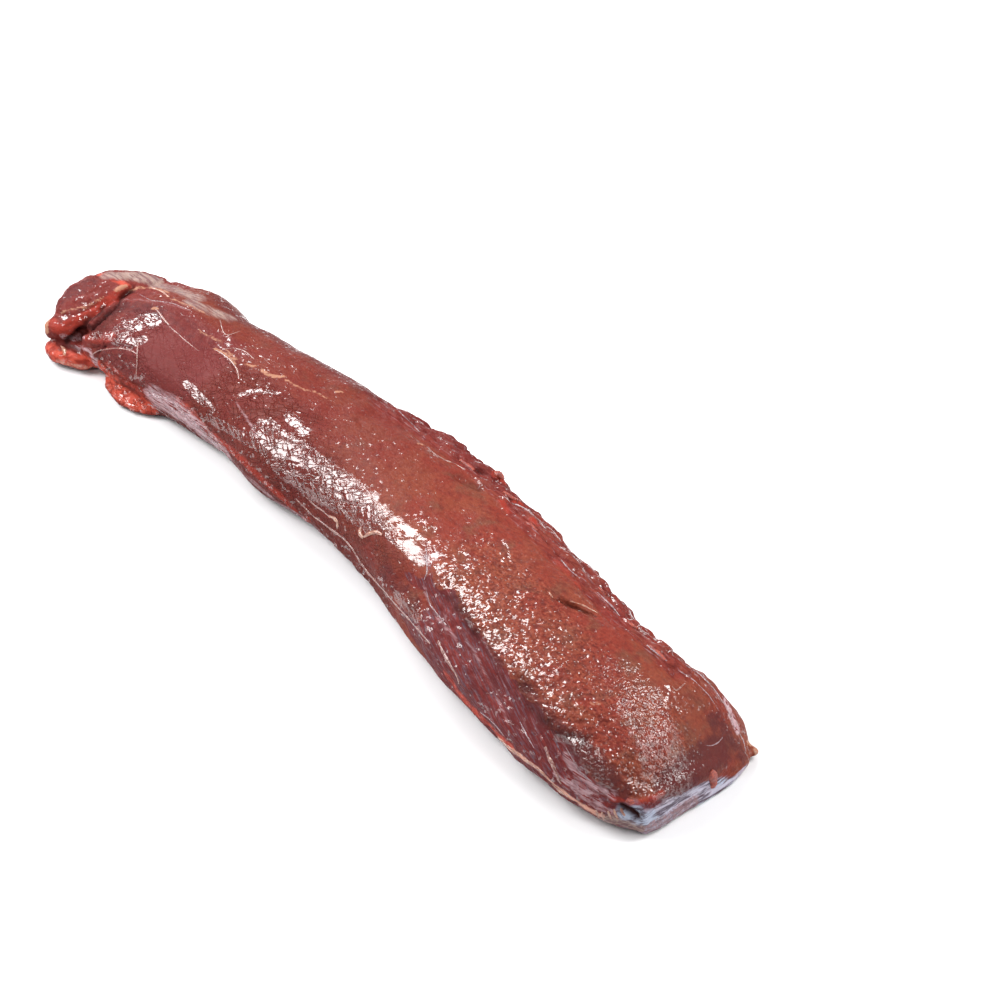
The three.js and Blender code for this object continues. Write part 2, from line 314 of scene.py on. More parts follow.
# Colours laid along lines of pixels of the photograph: half width in millimetres and strength.
STROKES = {
    "cream": [
        ([(43, 318), (46, 324), (46, 331)], 2.1, 1.0),
        ([(117, 290), (121, 288), (125, 286)], 1.5, 0.9),
        ([(62, 312), (70, 309), (78, 307), (86, 306)], 0.9, 0.55),
        ([(84, 308), (90, 304), (96, 302), (103, 298)], 1.1, 0.5),
        ([(130, 290), (140, 287), (155, 288), (168, 293)], 1.2, 0.65),
        ([(170, 298), (180, 302), (192, 307), (204, 313)], 0.9, 0.6),
        ([(153, 308), (157, 309)], 1.2, 0.9),
        ([(199, 330), (206, 335), (213, 338), (222, 342)], 1.2, 0.5),
        ([(215, 349), (222, 353), (230, 358), (235, 364)], 1.1, 0.7),
        ([(226, 351), (233, 355), (236, 360)], 1.1, 0.6),
        ([(262, 370), (267, 375), (274, 377), (284, 377)], 1.5, 0.7),
        ([(286, 380), (294, 385), (301, 388)], 1.0, 0.55),
        ([(303, 389), (312, 391), (320, 394), (326, 398)], 1.1, 0.5),
        ([(246, 364), (252, 366), (256, 366)], 0.9, 0.7),
        ([(336, 392), (341, 392)], 0.9, 0.9),
        ([(418, 444), (423, 445)], 1.0, 0.6),
        ([(62, 346), (65, 350), (65, 354)], 1.0, 0.8),
        ([(592, 703), (600, 704)], 1.3, 0.4),
        ([(750, 742), (755, 748), (758, 754)], 1.5, 0.8),
    ],
    "red": [
        ([(60, 330), (72, 324), (86, 316), (98, 308), (110, 300), (122, 292)], 3.2, 0.85),
        ([(52, 322), (58, 330), (66, 334)], 3.0, 0.8),
        ([(108, 366), (122, 378), (138, 392), (156, 402)], 3.2, 0.6),
        ([(88, 336), (100, 340), (112, 336)], 3.5, 0.5),
        ([(214, 436), (238, 456), (262, 480), (286, 502), (306, 522)], 2.4, 0.75),
        ([(496, 474), (504, 476), (505, 482)], 2.4, 0.9),
        ([(500, 500), (506, 506), (509, 512)], 1.6, 0.7),
        ([(516, 500), (526, 504)], 1.6, 0.8),
        ([(532, 520), (538, 524)], 1.8, 0.9),
        ([(556, 560), (566, 572), (580, 588)], 1.6, 0.4),
        ([(550, 560), (560, 575)], 1.0, 0.3),
        ([(576, 702), (588, 704), (600, 706)], 2.0, 0.35),
        ([(614, 798), (624, 803), (634, 803), (650, 800), (662, 793)], 1.6, 0.6),
    ],
    "orange": [
        ([(100, 274), (110, 277), (120, 281), (128, 287)], 2.3, 0.7),
        ([(46, 346), (54, 352), (60, 360)], 3.4, 0.8),
        ([(58, 358), (72, 361), (90, 363), (97, 370)], 5.0, 0.9),
        ([(102, 372), (112, 382), (120, 394), (132, 402), (150, 409)], 4.6, 0.9),
        ([(178, 400), (190, 410), (200, 422), (214, 438)], 2.0, 0.5),
        ([(446, 674), (458, 692), (470, 706), (484, 720), (500, 736), (512, 748)], 2.4, 0.7),
    ],
    "peach": [
        ([(58, 361), (68, 365), (80, 367), (92, 368)], 1.8, 0.45),
        ([(498, 738), (512, 750), (526, 760), (541, 771), (552, 784), (566, 796), (584, 807), (602, 816)],
         1.6, 0.75),
    ],
    # The slate and sheet strokes colour the end's membrane, brightened with painted reflection of the lights.
    "slate": [
        ([(630, 814), (642, 822), (656, 826), (670, 818)], 6.0, 1.0),
    ],
    "sheet": [
        ([(664, 806), (678, 802), (692, 795), (708, 787)], 4.6, 0.85),
        ([(684, 808), (700, 801), (716, 792), (732, 781), (746, 768)], 2.0, 0.75),
    ],
    "stipple": [
        ([(614, 676), (634, 694), (652, 722), (664, 752), (668, 778)], 11.5, 1.0),
        ([(580, 742), (592, 758), (606, 778)], 6.0, 0.75),
    ],
    # Partly pale lilac silverskin film, partly painted reflection and glints along the low near edges.
    "lilac_film_and_sheen": [
        ([(62, 336), (72, 340), (84, 337)], 1.6, 0.6),
        ([(152, 396), (168, 404), (188, 418), (208, 436), (226, 454)], 5.6, 0.9),
        ([(570, 782), (582, 792), (596, 800)], 3.0, 0.6),
        ([(226, 458), (250, 480), (276, 502), (300, 522)], 2.2, 0.45),
        ([(76, 346), (84, 348), (90, 351)], 1.3, 0.8),
        ([(91, 354), (94, 361), (97, 367)], 1.4, 1.0),
        ([(154, 404), (170, 411), (188, 424), (206, 440), (224, 456)], 2.6, 0.75),
        ([(160, 398), (176, 402), (192, 418)], 1.2, 0.6),
        ([(112, 301), (130, 299), (150, 301), (170, 304), (190, 310), (204, 316)], 1.0, 0.22),
        ([(236, 402), (248, 420), (256, 436)], 0.7, 0.5),
        ([(424, 582), (426, 596), (432, 610), (444, 624), (456, 640)], 1.2, 0.3),
        ([(448, 606), (444, 622), (448, 640)], 0.9, 0.25),
        ([(466, 640), (476, 655), (487, 678), (500, 704), (508, 722)], 1.0, 0.3),
        ([(484, 640), (498, 668), (506, 690)], 0.9, 0.25),
        ([(566, 756), (574, 768), (588, 782), (604, 791), (614, 795)], 2.2, 0.55),
        ([(556, 774), (566, 786), (582, 798), (600, 808), (612, 812)], 1.7, 0.5),
        ([(726, 702), (732, 718), (737, 730)], 2.0, 1.0),
        ([(540, 652), (548, 662)], 0.9, 0.2),
    ],
    "grey": [
        ([(108, 275), (124, 275), (140, 276), (156, 281)], 4.4, 0.9),
        ([(156, 284), (176, 290), (198, 298)], 4.6, 0.75),
        ([(190, 302), (208, 310), (228, 318)], 4.5, 0.62),
        ([(606, 820), (618, 822), (630, 826), (638, 830)], 3.4, 1.0),
    ],
    # Dark purple tissue, partly painted shade in the hollows under the border, beside the crevice and on the
    # low flank.
    "purple": [
        ([(450, 596), (464, 616), (480, 640), (500, 664)], 3.5, 0.6),
        ([(522, 690), (540, 712), (556, 728), (574, 740)], 5.5, 0.62),
        ([(576, 744), (590, 760), (606, 778), (618, 792)], 6.0, 0.8),
        ([(672, 784), (688, 772), (704, 760), (718, 750)], 8.0, 1.0),
        ([(716, 720), (726, 738), (740, 752)], 6.0, 0.7),
        ([(384, 572), (400, 590), (414, 610)], 6.0, 0.55),
        ([(60, 300), (74, 290), (90, 282)], 6.0, 0.6),
        ([(116, 308), (134, 307), (156, 312)], 7.0, 0.62),
        ([(170, 318), (190, 330), (206, 344)], 8.0, 0.4),
    ],
    "rough": [
        ([(236, 458), (286, 506), (330, 548), (372, 592)], 4.0, 0.6),
        ([(146, 394), (184, 418), (222, 454)], 5.0, 0.5),
        ([(444, 590), (470, 624), (500, 664)], 4.0, 0.8),
        ([(526, 684), (548, 706), (566, 728), (590, 744)], 7.0, 1.0),
        ([(590, 700), (610, 730), (620, 760)], 7.0, 0.5),
    ],
    "dull": [
        ([(158, 346), (162, 362), (170, 378)], 8.5, 0.9),
        ([(178, 336), (188, 352), (204, 372)], 10.0, 0.85),
        ([(700, 725), (714, 736), (724, 748)], 7.0, 0.5),
    ],
    # Painted shade: near-black colour laid in the crevice, the cuts, the slit and the hollows, where shade
    # falls.
    "dark": [
        ([(131, 291), (121, 299), (112, 308)], 2.2, 0.85),
        ([(112, 308), (101, 319), (90, 328)], 3.4, 1.0),
        ([(104, 309), (95, 317), (87, 323)], 2.2, 0.8),
        ([(118, 308), (107, 320), (96, 332)], 4.6, 0.5),
        ([(88, 325), (76, 333), (67, 341)], 1.6, 0.85),
        ([(62, 344), (72, 345), (80, 349)], 0.9, 0.6),
        ([(551, 597), (562, 603), (576, 609), (590, 614), (597, 617)], 0.35, 0.6),
        ([(456, 600), (464, 612), (474, 632)], 3.0, 0.3),
        ([(520, 684), (526, 690)], 1.8, 0.4),
        ([(540, 717), (549, 724)], 2.0, 0.5),
        ([(552, 731), (562, 735), (572, 737)], 1.8, 0.45),
        ([(582, 741), (590, 736)], 1.8, 0.5),
        ([(622, 806), (630, 810), (637, 817)], 1.9, 1.0),
        ([(460, 476), (470, 483), (480, 486)], 2.2, 0.25),
        ([(114, 380), (124, 386), (134, 390)], 1.0, 0.4),
        ([(148, 390), (160, 391)], 1.2, 0.3),
    ],
    "shine": [
        ([(122, 330), (134, 323), (150, 320)], 6.5, 1.0),
        ([(110, 336), (124, 344), (142, 340)], 3.5, 0.8),
        ([(88, 334), (104, 336)], 3.0, 0.6),
        ([(187, 384), (200, 398), (212, 410)], 2.6, 0.8),
        ([(208, 418), (235, 432), (262, 450)], 2.8, 0.8),
        ([(240, 395), (256, 390), (276, 393)], 2.0, 0.7),
        ([(262, 430), (276, 450), (294, 472), (318, 488), (346, 500), (378, 520)], 8.5, 0.85),
        ([(392, 526), (408, 540), (426, 556)], 6.0, 1.0),
        ([(290, 416), (304, 432)], 4.0, 0.7),
        ([(286, 440), (312, 458), (340, 478), (370, 500)], 5.5, 0.75),
        ([(500, 542), (506, 552), (506, 560)], 2.5, 1.0),
        ([(514, 561), (532, 561)], 1.5, 0.9),
        ([(634, 784), (646, 789), (656, 790)], 3.6, 1.0),
        ([(396, 596), (408, 606), (416, 618)], 3.0, 0.8),
        ([(556, 738), (576, 742), (588, 748)], 2.0, 0.8),
    ],
    "glints": [
        ([(440, 562), (458, 582), (476, 604)], 7.0, 0.7),
        ([(476, 606), (496, 628), (520, 650), (540, 664)], 8.5, 0.8),
        ([(420, 520), (450, 548), (480, 580)], 6.0, 0.6),
        ([(556, 640), (576, 656), (604, 666)], 7.0, 0.7),
        ([(520, 600), (540, 620), (552, 640)], 8.0, 0.4),
        ([(550, 700), (566, 712), (584, 724)], 5.0, 0.6),
        ([(584, 750), (594, 758), (606, 772)], 7.0, 0.8),
        ([(600, 730), (610, 750), (624, 770)], 5.0, 0.6),
        ([(100, 366), (124, 366), (146, 378)], 5.0, 0.5),
        ([(66, 318), (84, 312), (98, 302)], 4.0, 0.8),
        ([(50, 346), (60, 358), (78, 362), (96, 370)], 5.0, 0.4),
        ([(102, 378), (114, 392), (130, 402), (150, 408)], 5.0, 0.5),
        ([(380, 584), (396, 602), (414, 620), (428, 640)], 6.0, 0.45),
        ([(430, 620), (456, 650), (490, 700), (530, 740), (570, 780)], 9.0, 0.25),
        ([(636, 680), (600, 690), (570, 690)], 8.0, 0.5),
        ([(640, 660), (672, 690), (690, 720)], 8.0, 0.4),
        ([(230, 448), (280, 494), (330, 534), (366, 576)], 5.0, 0.4),
        ([(146, 386), (180, 408), (220, 446)], 6.0, 0.6),
        ([(230, 340), (270, 362), (330, 390)], 9.0, 0.25),
        ([(520, 616), (560, 630), (600, 644), (640, 660)], 10.0, 0.45),
        ([(436, 452), (470, 474), (500, 492)], 4.0, 0.6),
        ([(500, 492), (540, 520), (590, 570), (630, 612), (672, 652)], 4.0, 0.7),
        ([(640, 788), (650, 792), (658, 790)], 3.0, 1.0),
    ],
}


# A stroke has its full strength up to the first share of its half width, and is gone at the second.
SOLID_TO = 0.35
GONE_AT = 1.45


def painted(points, surface):
    """How strongly each colour of STROKES lies on each point."""
    layers = {}
    for name, strokes in STROKES.items():
        layers[name] = np.zeros(len(points))
        for pixels, half, strength in strokes:
            distance = away_from_trail(points, surface, pixels)
            cover = strength * (1 - ramp(distance, SOLID_TO * half, GONE_AT * half))
            layers[name] = np.maximum(layers[name], cover)
    return layers


def zones_of(place):
    """The finishes of the surface and the zones of painted shade, each as a strength from 0 to 1 at every
    point.
    """
    points, x, z, across = place.points, place.x, place.z, place.across
    wander = 3.2 * uneven(points, (11, 9, 9), (0, 4.4, 0)) + 1.4 * uneven(points, (4, 4, 4), (7.7, 0, 0))
    border = np.interp(x, TOP_BORDER_ALONG, TOP_BORDER_HEIGHT) + wander
    along_border = np.exp(-(((z - border - 0.5) / 3.2) ** 2))
    film_line = np.interp(x, FILM_ALONG, FILM_HEIGHT)
    flank_start = x + 20 * uneven(points, (16, 10, 6), (3.1, 0, 0)) + 0.5 * (z - 20)
    flank = place.near * ramp(flank_start, 62, 90) * ramp(border - z, -1, 1.5)
    thin_half = 1 - ramp(x, 40, 75)
    film_top = z - 7 * uneven(points, (34, 22, 22), (0, 0, 6.6))
    film_end = x + 34 * uneven(points, (26, 14, 9), (2.2, 0, 0))
    return {
        "smooth_flank": flank,
        "shoulder": place.near * ramp(x, 60, 90) * (1 - ramp(x, 196, 208)) * along_border,
        "wet_flank": place.near * thin_half * (1 - ramp(z, 35, 40)) * ramp(x, -178, -164),
        # Painted shade: darkens the low near flank of the thin half.
        "low": place.near * thin_half * (1 - ramp(z, 8, 26)) * ramp(x, -130, -100),
        "thin_end": 1 - ramp(x, -182, -164),
        # Painted shade: darkens the top of the thin half, fading out towards the thick half.
        "thin_half_painted_shade": 1 - ramp(x, -30, 60),
        "far_rim": ramp(across, 0.5, 0.8) * thin_half * ramp(x, -170, -150),
        "far_film": ramp(across, 0.72, 0.95) * (1 - ramp(film_end, 20, 70)) * (1 - ramp(film_top, 16, 28)),
        "far_wet": ramp(across, 0.6, 0.85),
        "mauve": between(x, -172, -105, 12) * (1 - ramp(across, 0.1, 0.5)) * ramp(z, 12, 20),
        "pale_film": place.near * ramp(x, -70, -10) * ramp(film_line - z, -1.5, 1.5),
        "stippled": ramp(x, 50, 90) * (1 - flank) * ramp(z, 14, 24) * (1 - 0.8 * ramp(across, 0.05, 0.4)),
        "torn": ramp(across, 0.42, 0.62) * ramp(x, -60, -20) * (1 - ramp(x, 176, 196)),
        "end_face": ramp(x, 206, 213) * (1 - ramp(z, 9, 19)) * (1 - ramp(place.y + 1.6 * z, 14, 26)),
    }


def cuts_of(points, surface):
    depth = np.zeros(len(points))
    for pixels, half, deepest in CUTS.values():
        depth += deepest * np.exp(-((away_from_trail(points, surface, pixels) / half) ** 2))
    return depth


# How stretched patterns run on the near side: the turn about Z and the tilt about Y, in radians.
FALLING = (-0.42, 0.40)
RISING = (0.34, -0.33)
FLANK_STRIPES = (-0.29, 0.29)


def relief_of(place, zones, layers):
    """How far each point of the meat moves out, in millimetres."""
    points = place.points
    wet = zones["wet_flank"]
    dry = 1 - wet
    thin_end = 1 - ramp(place.x, -176, -150)
    lumps = (0.2 + 0.3 * dry) * uneven(points, (14, 9, 9))
    lumps += 0.26 * dry * uneven(points, (4.5, 3.2, 3.2), (0, 2.2, 0))
    lumps += 0.6 * thin_end * uneven(points, (7, 4.5, 4.5), (6.1, 0, 0))
    lumps -= 0.5 * thin_end * creases(points, (8, 5, 5), 0.16, (0, 0, 2.9))
    lumps += 0.9 * layers["rough"] * uneven(points, (5, 3.4, 3.4), (1.9, 0, 0))
    fibres = 0.08 * dry * uneven(points, (12, 2.4, 2.4), (3.3, 0, 0))
    pimples = zones["stippled"] * 0.26 * uneven(points, (2.4, 2.2, 2.2), (0, 0, 9.1))
    torn = zones["torn"] * (
        1.1 * uneven(points, (6, 3, 3), (0, 8.8, 0))
        - 1.6 * creases(points, (18, 3.0, 3.0), 0.24, (5.5, 0, 0))
    )
    wrinkles = -0.3 * wet * (
        creases(turned(points, *FALLING), (26, 6.5, 6.5), 0.14, (1.1, 0, 0))
        + 0.7 * creases(turned(points, *RISING), (14, 6.0, 6.0), 0.14, (0, 1.7, 0))
    )
    stripes = uneven(turned(points, *FLANK_STRIPES), (30, 3.4, 3.4), (0, 0, 3.9))
    flank_folds = zones["smooth_flank"] * (0.45 * stripes - 0.4 * creases(points, (24, 4, 4), 0.2, (9, 0, 3)))
    small = fibres + pimples + torn + wrinkles + flank_folds + 0.35 * zones["shoulder"]
    return lumps + small * (1 - layers["dull"])


def make_meat():
    meat = body_mesh()
    points = points_of(meat)
    place = Places(points)
    surface = surface_of(meat)
    zones = zones_of(place)
    layers = painted(points, surface)
    raised = 0.35 * layers["cream"] + 0.25 * layers["red"]
    out = (relief_of(place, zones, layers) - cuts_of(points, surface) + raised) * (1 - place.lying) * MM
    moved = points + normals_of(meat) * out[:, None]
    moved[:, 2] = np.maximum(moved[:, 2], 0)
    move_points(meat, moved)
    for name, strength in {**zones, **layers}.items():
        layer = meat.data.attributes.new(name, "FLOAT", "POINT")
        layer.data.foreach_set("value", np.clip(strength, 0, 1))
    dissolve_underside(meat)
    make_active(meat)
    bpy.ops.object.shade_smooth()
    return meat


# Strands, shreds and flakes that lie on the meat, along lines of pixels of the photograph.
# Each is (pixels, width in millimetres, share of the width that it is thick).

SINEWS = {
    "lower_sinew": (
        [(296, 499), (304, 507), (313, 516), (325, 525), (336, 533), (346, 541), (354, 551), (360, 562),
         (368, 573), (377, 583), (386, 593), (396, 605), (406, 616), (418, 630), (430, 644)],
        1.2, 0.6,
    ),
    "upper_sinew": ([(306, 497), (314, 505), (323, 511), (330, 518)], 0.9, 0.6),
    "thin_end_line": ([(92, 355), (97, 351), (107, 349), (118, 348), (130, 350), (137, 354)], 0.9, 0.5),
    "thin_end_branch": ([(138, 342), (137, 352), (137, 364), (136, 379)], 0.8, 0.5),
    "vein": ([(156, 309), (160, 314), (164, 319), (169, 325)], 1.2, 0.5),
    "vein_end": ([(169, 326), (176, 332), (184, 339), (191, 345), (199, 351)], 0.7, 0.3),
    "forked_strand": ([(220, 320), (222, 328), (225, 335), (232, 334), (240, 331)], 0.8, 0.5),
    "top_arc": ([(222, 349), (234, 348), (243, 350), (249, 354), (254, 359)], 0.9, 0.4),
    "top_branch": ([(216, 350), (223, 354), (229, 359), (233, 363), (237, 369), (239, 379)], 1.0, 0.4),
    "thick_half_strand": ([(438, 641), (442, 650), (447, 660), (452, 668), (457, 676), (459, 684)], 1.9, 0.5),
    "strap": ([(545, 747), (548, 755), (552, 764), (556, 773), (561, 784)], 2.0, 0.5),
    "far_edge_strand": ([(427, 447), (436, 455), (446, 460), (456, 464), (464, 469)], 1.1, 0.4),
    "small_hook": ([(672, 686), (676, 691), (680, 688), (685, 683)], 0.8, 0.6),
}

SILVERSKIN = {
    "far_one": ([(512, 503), (525, 508), (534, 515)], 0.9, 0.4),
    "far_two": ([(561, 560), (572, 572), (580, 578)], 0.7, 0.4),
    "far_three": ([(597, 592), (610, 604), (620, 616)], 0.9, 0.4),
    "far_four": ([(631, 629), (647, 645), (659, 655), (667, 661)], 1.2, 0.4),
    "far_nine": ([(286, 335), (302, 345), (318, 356), (332, 366)], 0.8, 0.4),
    "far_ten": ([(345, 374), (356, 381), (368, 386)], 0.8, 0.4),
    "far_eleven": ([(384, 398), (396, 408), (408, 420), (420, 432)], 0.9, 0.5),
    "side_one": ([(684, 664), (700, 674), (715, 690), (727, 708), (735, 728)], 0.9, 0.4),
    "side_two": ([(678, 670), (694, 680), (708, 694), (720, 712)], 0.6, 0.3),
    "side_three": ([(704, 745), (711, 746), (718, 743), (723, 737)], 0.5, 0.3),
    "side_four": ([(738, 730), (744, 742), (746, 752)], 0.9, 0.4),
    "low_one": ([(160, 402), (174, 413), (188, 427), (204, 442)], 0.8, 0.4),
    "low_two": ([(176, 404), (190, 418), (204, 433), (220, 449)], 0.7, 0.4),
    "low_three": ([(148, 404), (162, 412), (176, 423)], 0.8, 0.4),
    "flank_one": ([(426, 548), (427, 560), (427, 573), (424, 580)], 0.8, 0.5),
    "flank_two": ([(426, 590), (430, 605), (438, 615), (446, 625)], 0.7, 0.4),
    "flank_three": ([(520, 722), (526, 734), (534, 748)], 0.8, 0.4),
    "flank_four": ([(566, 748), (572, 758), (580, 772), (592, 782)], 0.9, 0.4),
    "flank_five": ([(480, 712), (488, 718), (496, 726), (504, 736)], 0.8, 0.5),
    "film_edge": ([(130, 289), (150, 300), (172, 303), (190, 310)], 0.6, 0.3),
}

SHREDS = {
    "curl_tail": ([(361, 527), (359, 533), (363, 538)], 2.0, 0.7),
    "curl": ([(364, 537), (370, 533), (377, 532), (382, 535)], 2.0, 0.8),
    "sinew_lump": ([(329, 516), (334, 518), (338, 522), (337, 528)], 2.0, 0.6),
    "film_shred_one": ([(134, 290), (143, 288), (154, 288), (163, 292), (169, 297)], 1.3, 0.35),
    "loose_tag": ([(61, 346), (65, 349), (65, 354)], 1.8, 0.7),
    "fringe_one": ([(498, 738), (505, 744), (512, 750), (519, 756)], 1.6, 0.6),
    "fringe_two": ([(524, 759), (532, 765), (541, 771), (547, 778)], 1.8, 0.6),
    "fringe_three": ([(552, 784), (558, 790), (568, 797)], 1.4, 0.6),
    "finger_one": ([(596, 810), (597, 814), (599, 818)], 1.2, 0.6),
    "finger_two": ([(602, 812), (602, 816), (604, 820)], 1.3, 0.6),
    "finger_three": ([(608, 811), (609, 815), (611, 819)], 1.4, 0.6),
    "finger_four": ([(614, 809), (615, 814), (618, 819)], 1.2, 0.6),
    "finger_five": ([(621, 808), (622, 812), (625, 816)], 1.3, 0.6),
    "slit_lip": ([(570, 601), (577, 603), (585, 606), (592, 610), (598, 613)], 0.9, 0.6),
    "slit_curl": ([(549, 592), (551, 595), (553, 598)], 0.9, 0.7),
}

RED_SHREDS = {
    "end_tag": ([(711, 771), (714, 779), (713, 788)], 4.4, 0.65),
    "edge_knob": ([(494, 473), (500, 475), (505, 479)], 4.0, 0.7),
    "edge_flake_one": ([(503, 492), (512, 498), (520, 501)], 2.4, 0.7),
    "edge_flake_two": ([(526, 522), (532, 526), (537, 531)], 2.0, 0.6),
    "edge_flake_three": ([(597, 586), (605, 594), (611, 604)], 2.0, 0.7),
    "edge_flake_four": ([(628, 622), (636, 628)], 2.2, 0.7),
    "edge_flake_five": ([(650, 646), (659, 653), (665, 660)], 2.2, 0.7),
    "edge_flake_six": ([(460, 460), (468, 465), (474, 470)], 2.2, 0.6),
    "lip_lump": ([(626, 800), (631, 803), (634, 801)], 2.6, 0.6),
}


def flatten_on(piece, surface, share, sink):
    """Presses a piece against the surface under it, to a share of its thickness."""
    points = points_of(piece)
    for k, point in enumerate(points):
        base, normal = surface.find_nearest(Vector(point))[:2]
        height = (Vector(point) - base).dot(normal)
        points[k] += np.array(normal) * (height * (share - 1) - sink)
    points[:, 2] = np.maximum(points[:, 2], 0)
    move_points(piece, points)


LONGEST_STEP = 3.5 * MM
SUNK = 0.08


def path_on(surface, line):
    """The longest run of pixels and their places in which no place is far from the one before it."""
    runs = [[]]
    for pixel in line:
        place = spot(surface, pixel)[0]
        if runs[-1] and (place - runs[-1][-1][1]).length > LONGEST_STEP:
            runs.append([])
        runs[-1].append((pixel, place))
    return max(runs, key=len)


def lay_strand(name, surface, pixels, width, share):
    """A tapering strand that follows the surface along a line of pixels."""
    path = path_on(surface, trail(pixels, STRAND_STEP))
    bpy.ops.curve.primitive_nurbs_path_add()
    strand = bpy.context.object
    strand.name = name
    spline = strand.data.splines[0]
    spline.points.add(max(0, len(path) - len(spline.points)))
    last = len(path) - 1
    for k, point in enumerate(spline.points):
        pixel, place = path[min(k, last)]
        along = min(k, last) / last
        swell = math.sin(math.pi * (0.08 + 0.84 * along)) ** 0.5
        wobble = noise.noise(Vector((pixel[0] * 0.21, pixel[1] * 0.21, width)))
        point.co = (*place, 1)
        point.radius = (0.25 + 0.75 * swell) * (1 + 0.5 * wobble)
    spline.order_u = 4
    spline.use_endpoint_u = True
    strand.data.resolution_u = 2
    strand.data.bevel_depth = width * MM / 2
    strand.data.bevel_resolution = 2
    strand.data.use_fill_caps = True
    make_active(strand)
    bpy.ops.object.convert(target="MESH")
    flatten_on(strand, surface, share, SUNK * width * MM)
    edit(strand, lambda: bpy.ops.mesh.normals_make_consistent(inside=False))
    bpy.ops.object.shade_smooth()
    return strand


def lay_all(name, strands, surface):
    made = [lay_strand(key, surface, *strand) for key, strand in strands.items()]
    deselect()
    for piece in made:
        piece.select_set(True)
    bpy.context.view_layer.objects.active = made[0]
    bpy.ops.object.join()
    made[0].name = name
    return made[0]


# Materials


class Finish:
    """A material and short ways to add its nodes."""

    def __init__(self, name):
        self.material = bpy.data.materials.new(name)
        self.material.use_nodes = True
        self.tree = self.material.node_tree
        self.surface = self.tree.nodes["Principled BSDF"]
        self.place = self.tree.nodes.new("ShaderNodeTexCoord").outputs["Object"]

    def feed(self, socket, source):
        if isinstance(source, bpy.types.NodeSocket):
            self.tree.links.new(source, socket)
        else:
            socket.default_value = source

    def add(self, kind, sources, output=0, **settings):
        made = self.tree.nodes.new(kind)
        for name, value in settings.items():
            setattr(made, name, value)
        for socket, source in sources.items():
            self.feed(made.inputs[socket], source)
        return made.outputs[output]

    def set(self, **sources):
        for name, source in sources.items():
            self.feed(self.surface.inputs[name.replace("_", " ")], source)

    def maths(self, operation, first, second=0.0):
        return self.add("ShaderNodeMath", {0: first, 1: second}, operation=operation)

    def times(self, first, *others):
        for other in others:
            first = self.maths("MULTIPLY", first, other)
        return first

    def sum(self, first, *others):
        for other in others:
            first = self.maths("ADD", first, other)
        return first

    def larger(self, first, second):
        return self.maths("MAXIMUM", first, second)

    def rest(self, share):
        """What a share leaves of the whole."""
        return self.maths("SUBTRACT", 1.0, share)

    def ramp(self, value, low, high, start=0.0, end=1.0):
        sources = {"Value": value, "From Min": low, "From Max": high, "To Min": start, "To Max": end}
        return self.add("ShaderNodeMapRange", sources, interpolation_type="SMOOTHSTEP")

    def mix(self, share, first, second):
        return self.add("ShaderNodeMix", {0: share, 6: first, 7: second}, output=2, data_type="RGBA")

    def zone(self, name):
        return self.add("ShaderNodeAttribute", {}, output=2, attribute_name=name)

    def stretched(self, size, turns=(0.0, 0.0)):
        """Coordinates for a pattern whose spots are as long as size, in millimetres, along turned axes."""
        turn, tilt = turns
        sources = {"Vector": self.place, "Rotation": (0, tilt, turn), "Scale": tuple(s * MM for s in size)}
        return self.add("ShaderNodeMapping", sources, vector_type="TEXTURE")

    def noise(self, size, turns=(0.0, 0.0), detail=3.0, bend=0.0):
        vector = self.stretched(size, turns)
        sources = {"Vector": vector, "Scale": 1.0, "Detail": detail, "Roughness": 0.55, "Distortion": bend}
        return self.add("ShaderNodeTexNoise", sources)

    def away_from_cell_edges(self, size, turns, bend):
        """How far each place is from the edges of cells, which are bent by noise."""
        vector = self.stretched(size, turns)
        wobble = self.add("ShaderNodeTexNoise", {"Vector": vector, "Scale": 1.3, "Detail": 2.0}, output=1)
        moved = self.add("ShaderNodeVectorMath", {0: wobble, 1: (-0.5, -0.5, -0.5)}, operation="ADD")
        moved = self.add("ShaderNodeVectorMath", {0: moved, "Scale": bend}, operation="SCALE")
        moved = self.add("ShaderNodeVectorMath", {0: vector, 1: moved}, operation="ADD")
        return self.add("ShaderNodeTexVoronoi", {"Vector": moved, "Scale": 1.0}, feature="DISTANCE_TO_EDGE")

    def crease(self, size, width, turns):
        """1 along thin winding lines and 0 elsewhere."""
        wave = self.noise(size, turns, detail=2.0, bend=0.3)
        away = self.maths("ABSOLUTE", self.maths("SUBTRACT", wave, 0.5))
        return self.ramp(away, 0.0, width, 1.0, 0.0)

    def broken(self, name, size, edge, soft):
        """A zone whose border is made ragged by noise."""
        ragged = self.maths("SUBTRACT", self.noise(size, detail=4.0), 0.5)
        strength = self.sum(self.zone(name), self.times(ragged, edge))
        share = self.ramp(strength, 0.5 - soft, 0.5 + soft)
        return self.times(share, self.ramp(self.zone(name), 0.05, 0.3))

    def bump(self, height):
        return self.add("ShaderNodeBump", {"Height": height, "Strength": 1.0, "Distance": MM})


LEAN = (0.170, 0.027, 0.017, 1)
LEAN_DARK = (0.090, 0.011, 0.010, 1)
BROWN = (0.178, 0.041, 0.022, 1)
BROWN_DULL = (0.140, 0.042, 0.025, 1)
PURPLE = (0.095, 0.016, 0.018, 1)
PURPLE_RED = (0.145, 0.019, 0.017, 1)
MAUVE = (0.125, 0.022, 0.022, 1)
BRIGHT = (0.24, 0.026, 0.016, 1)
CREAM = (0.34, 0.165, 0.105, 1)
PEACH = (0.55, 0.29, 0.22, 1)
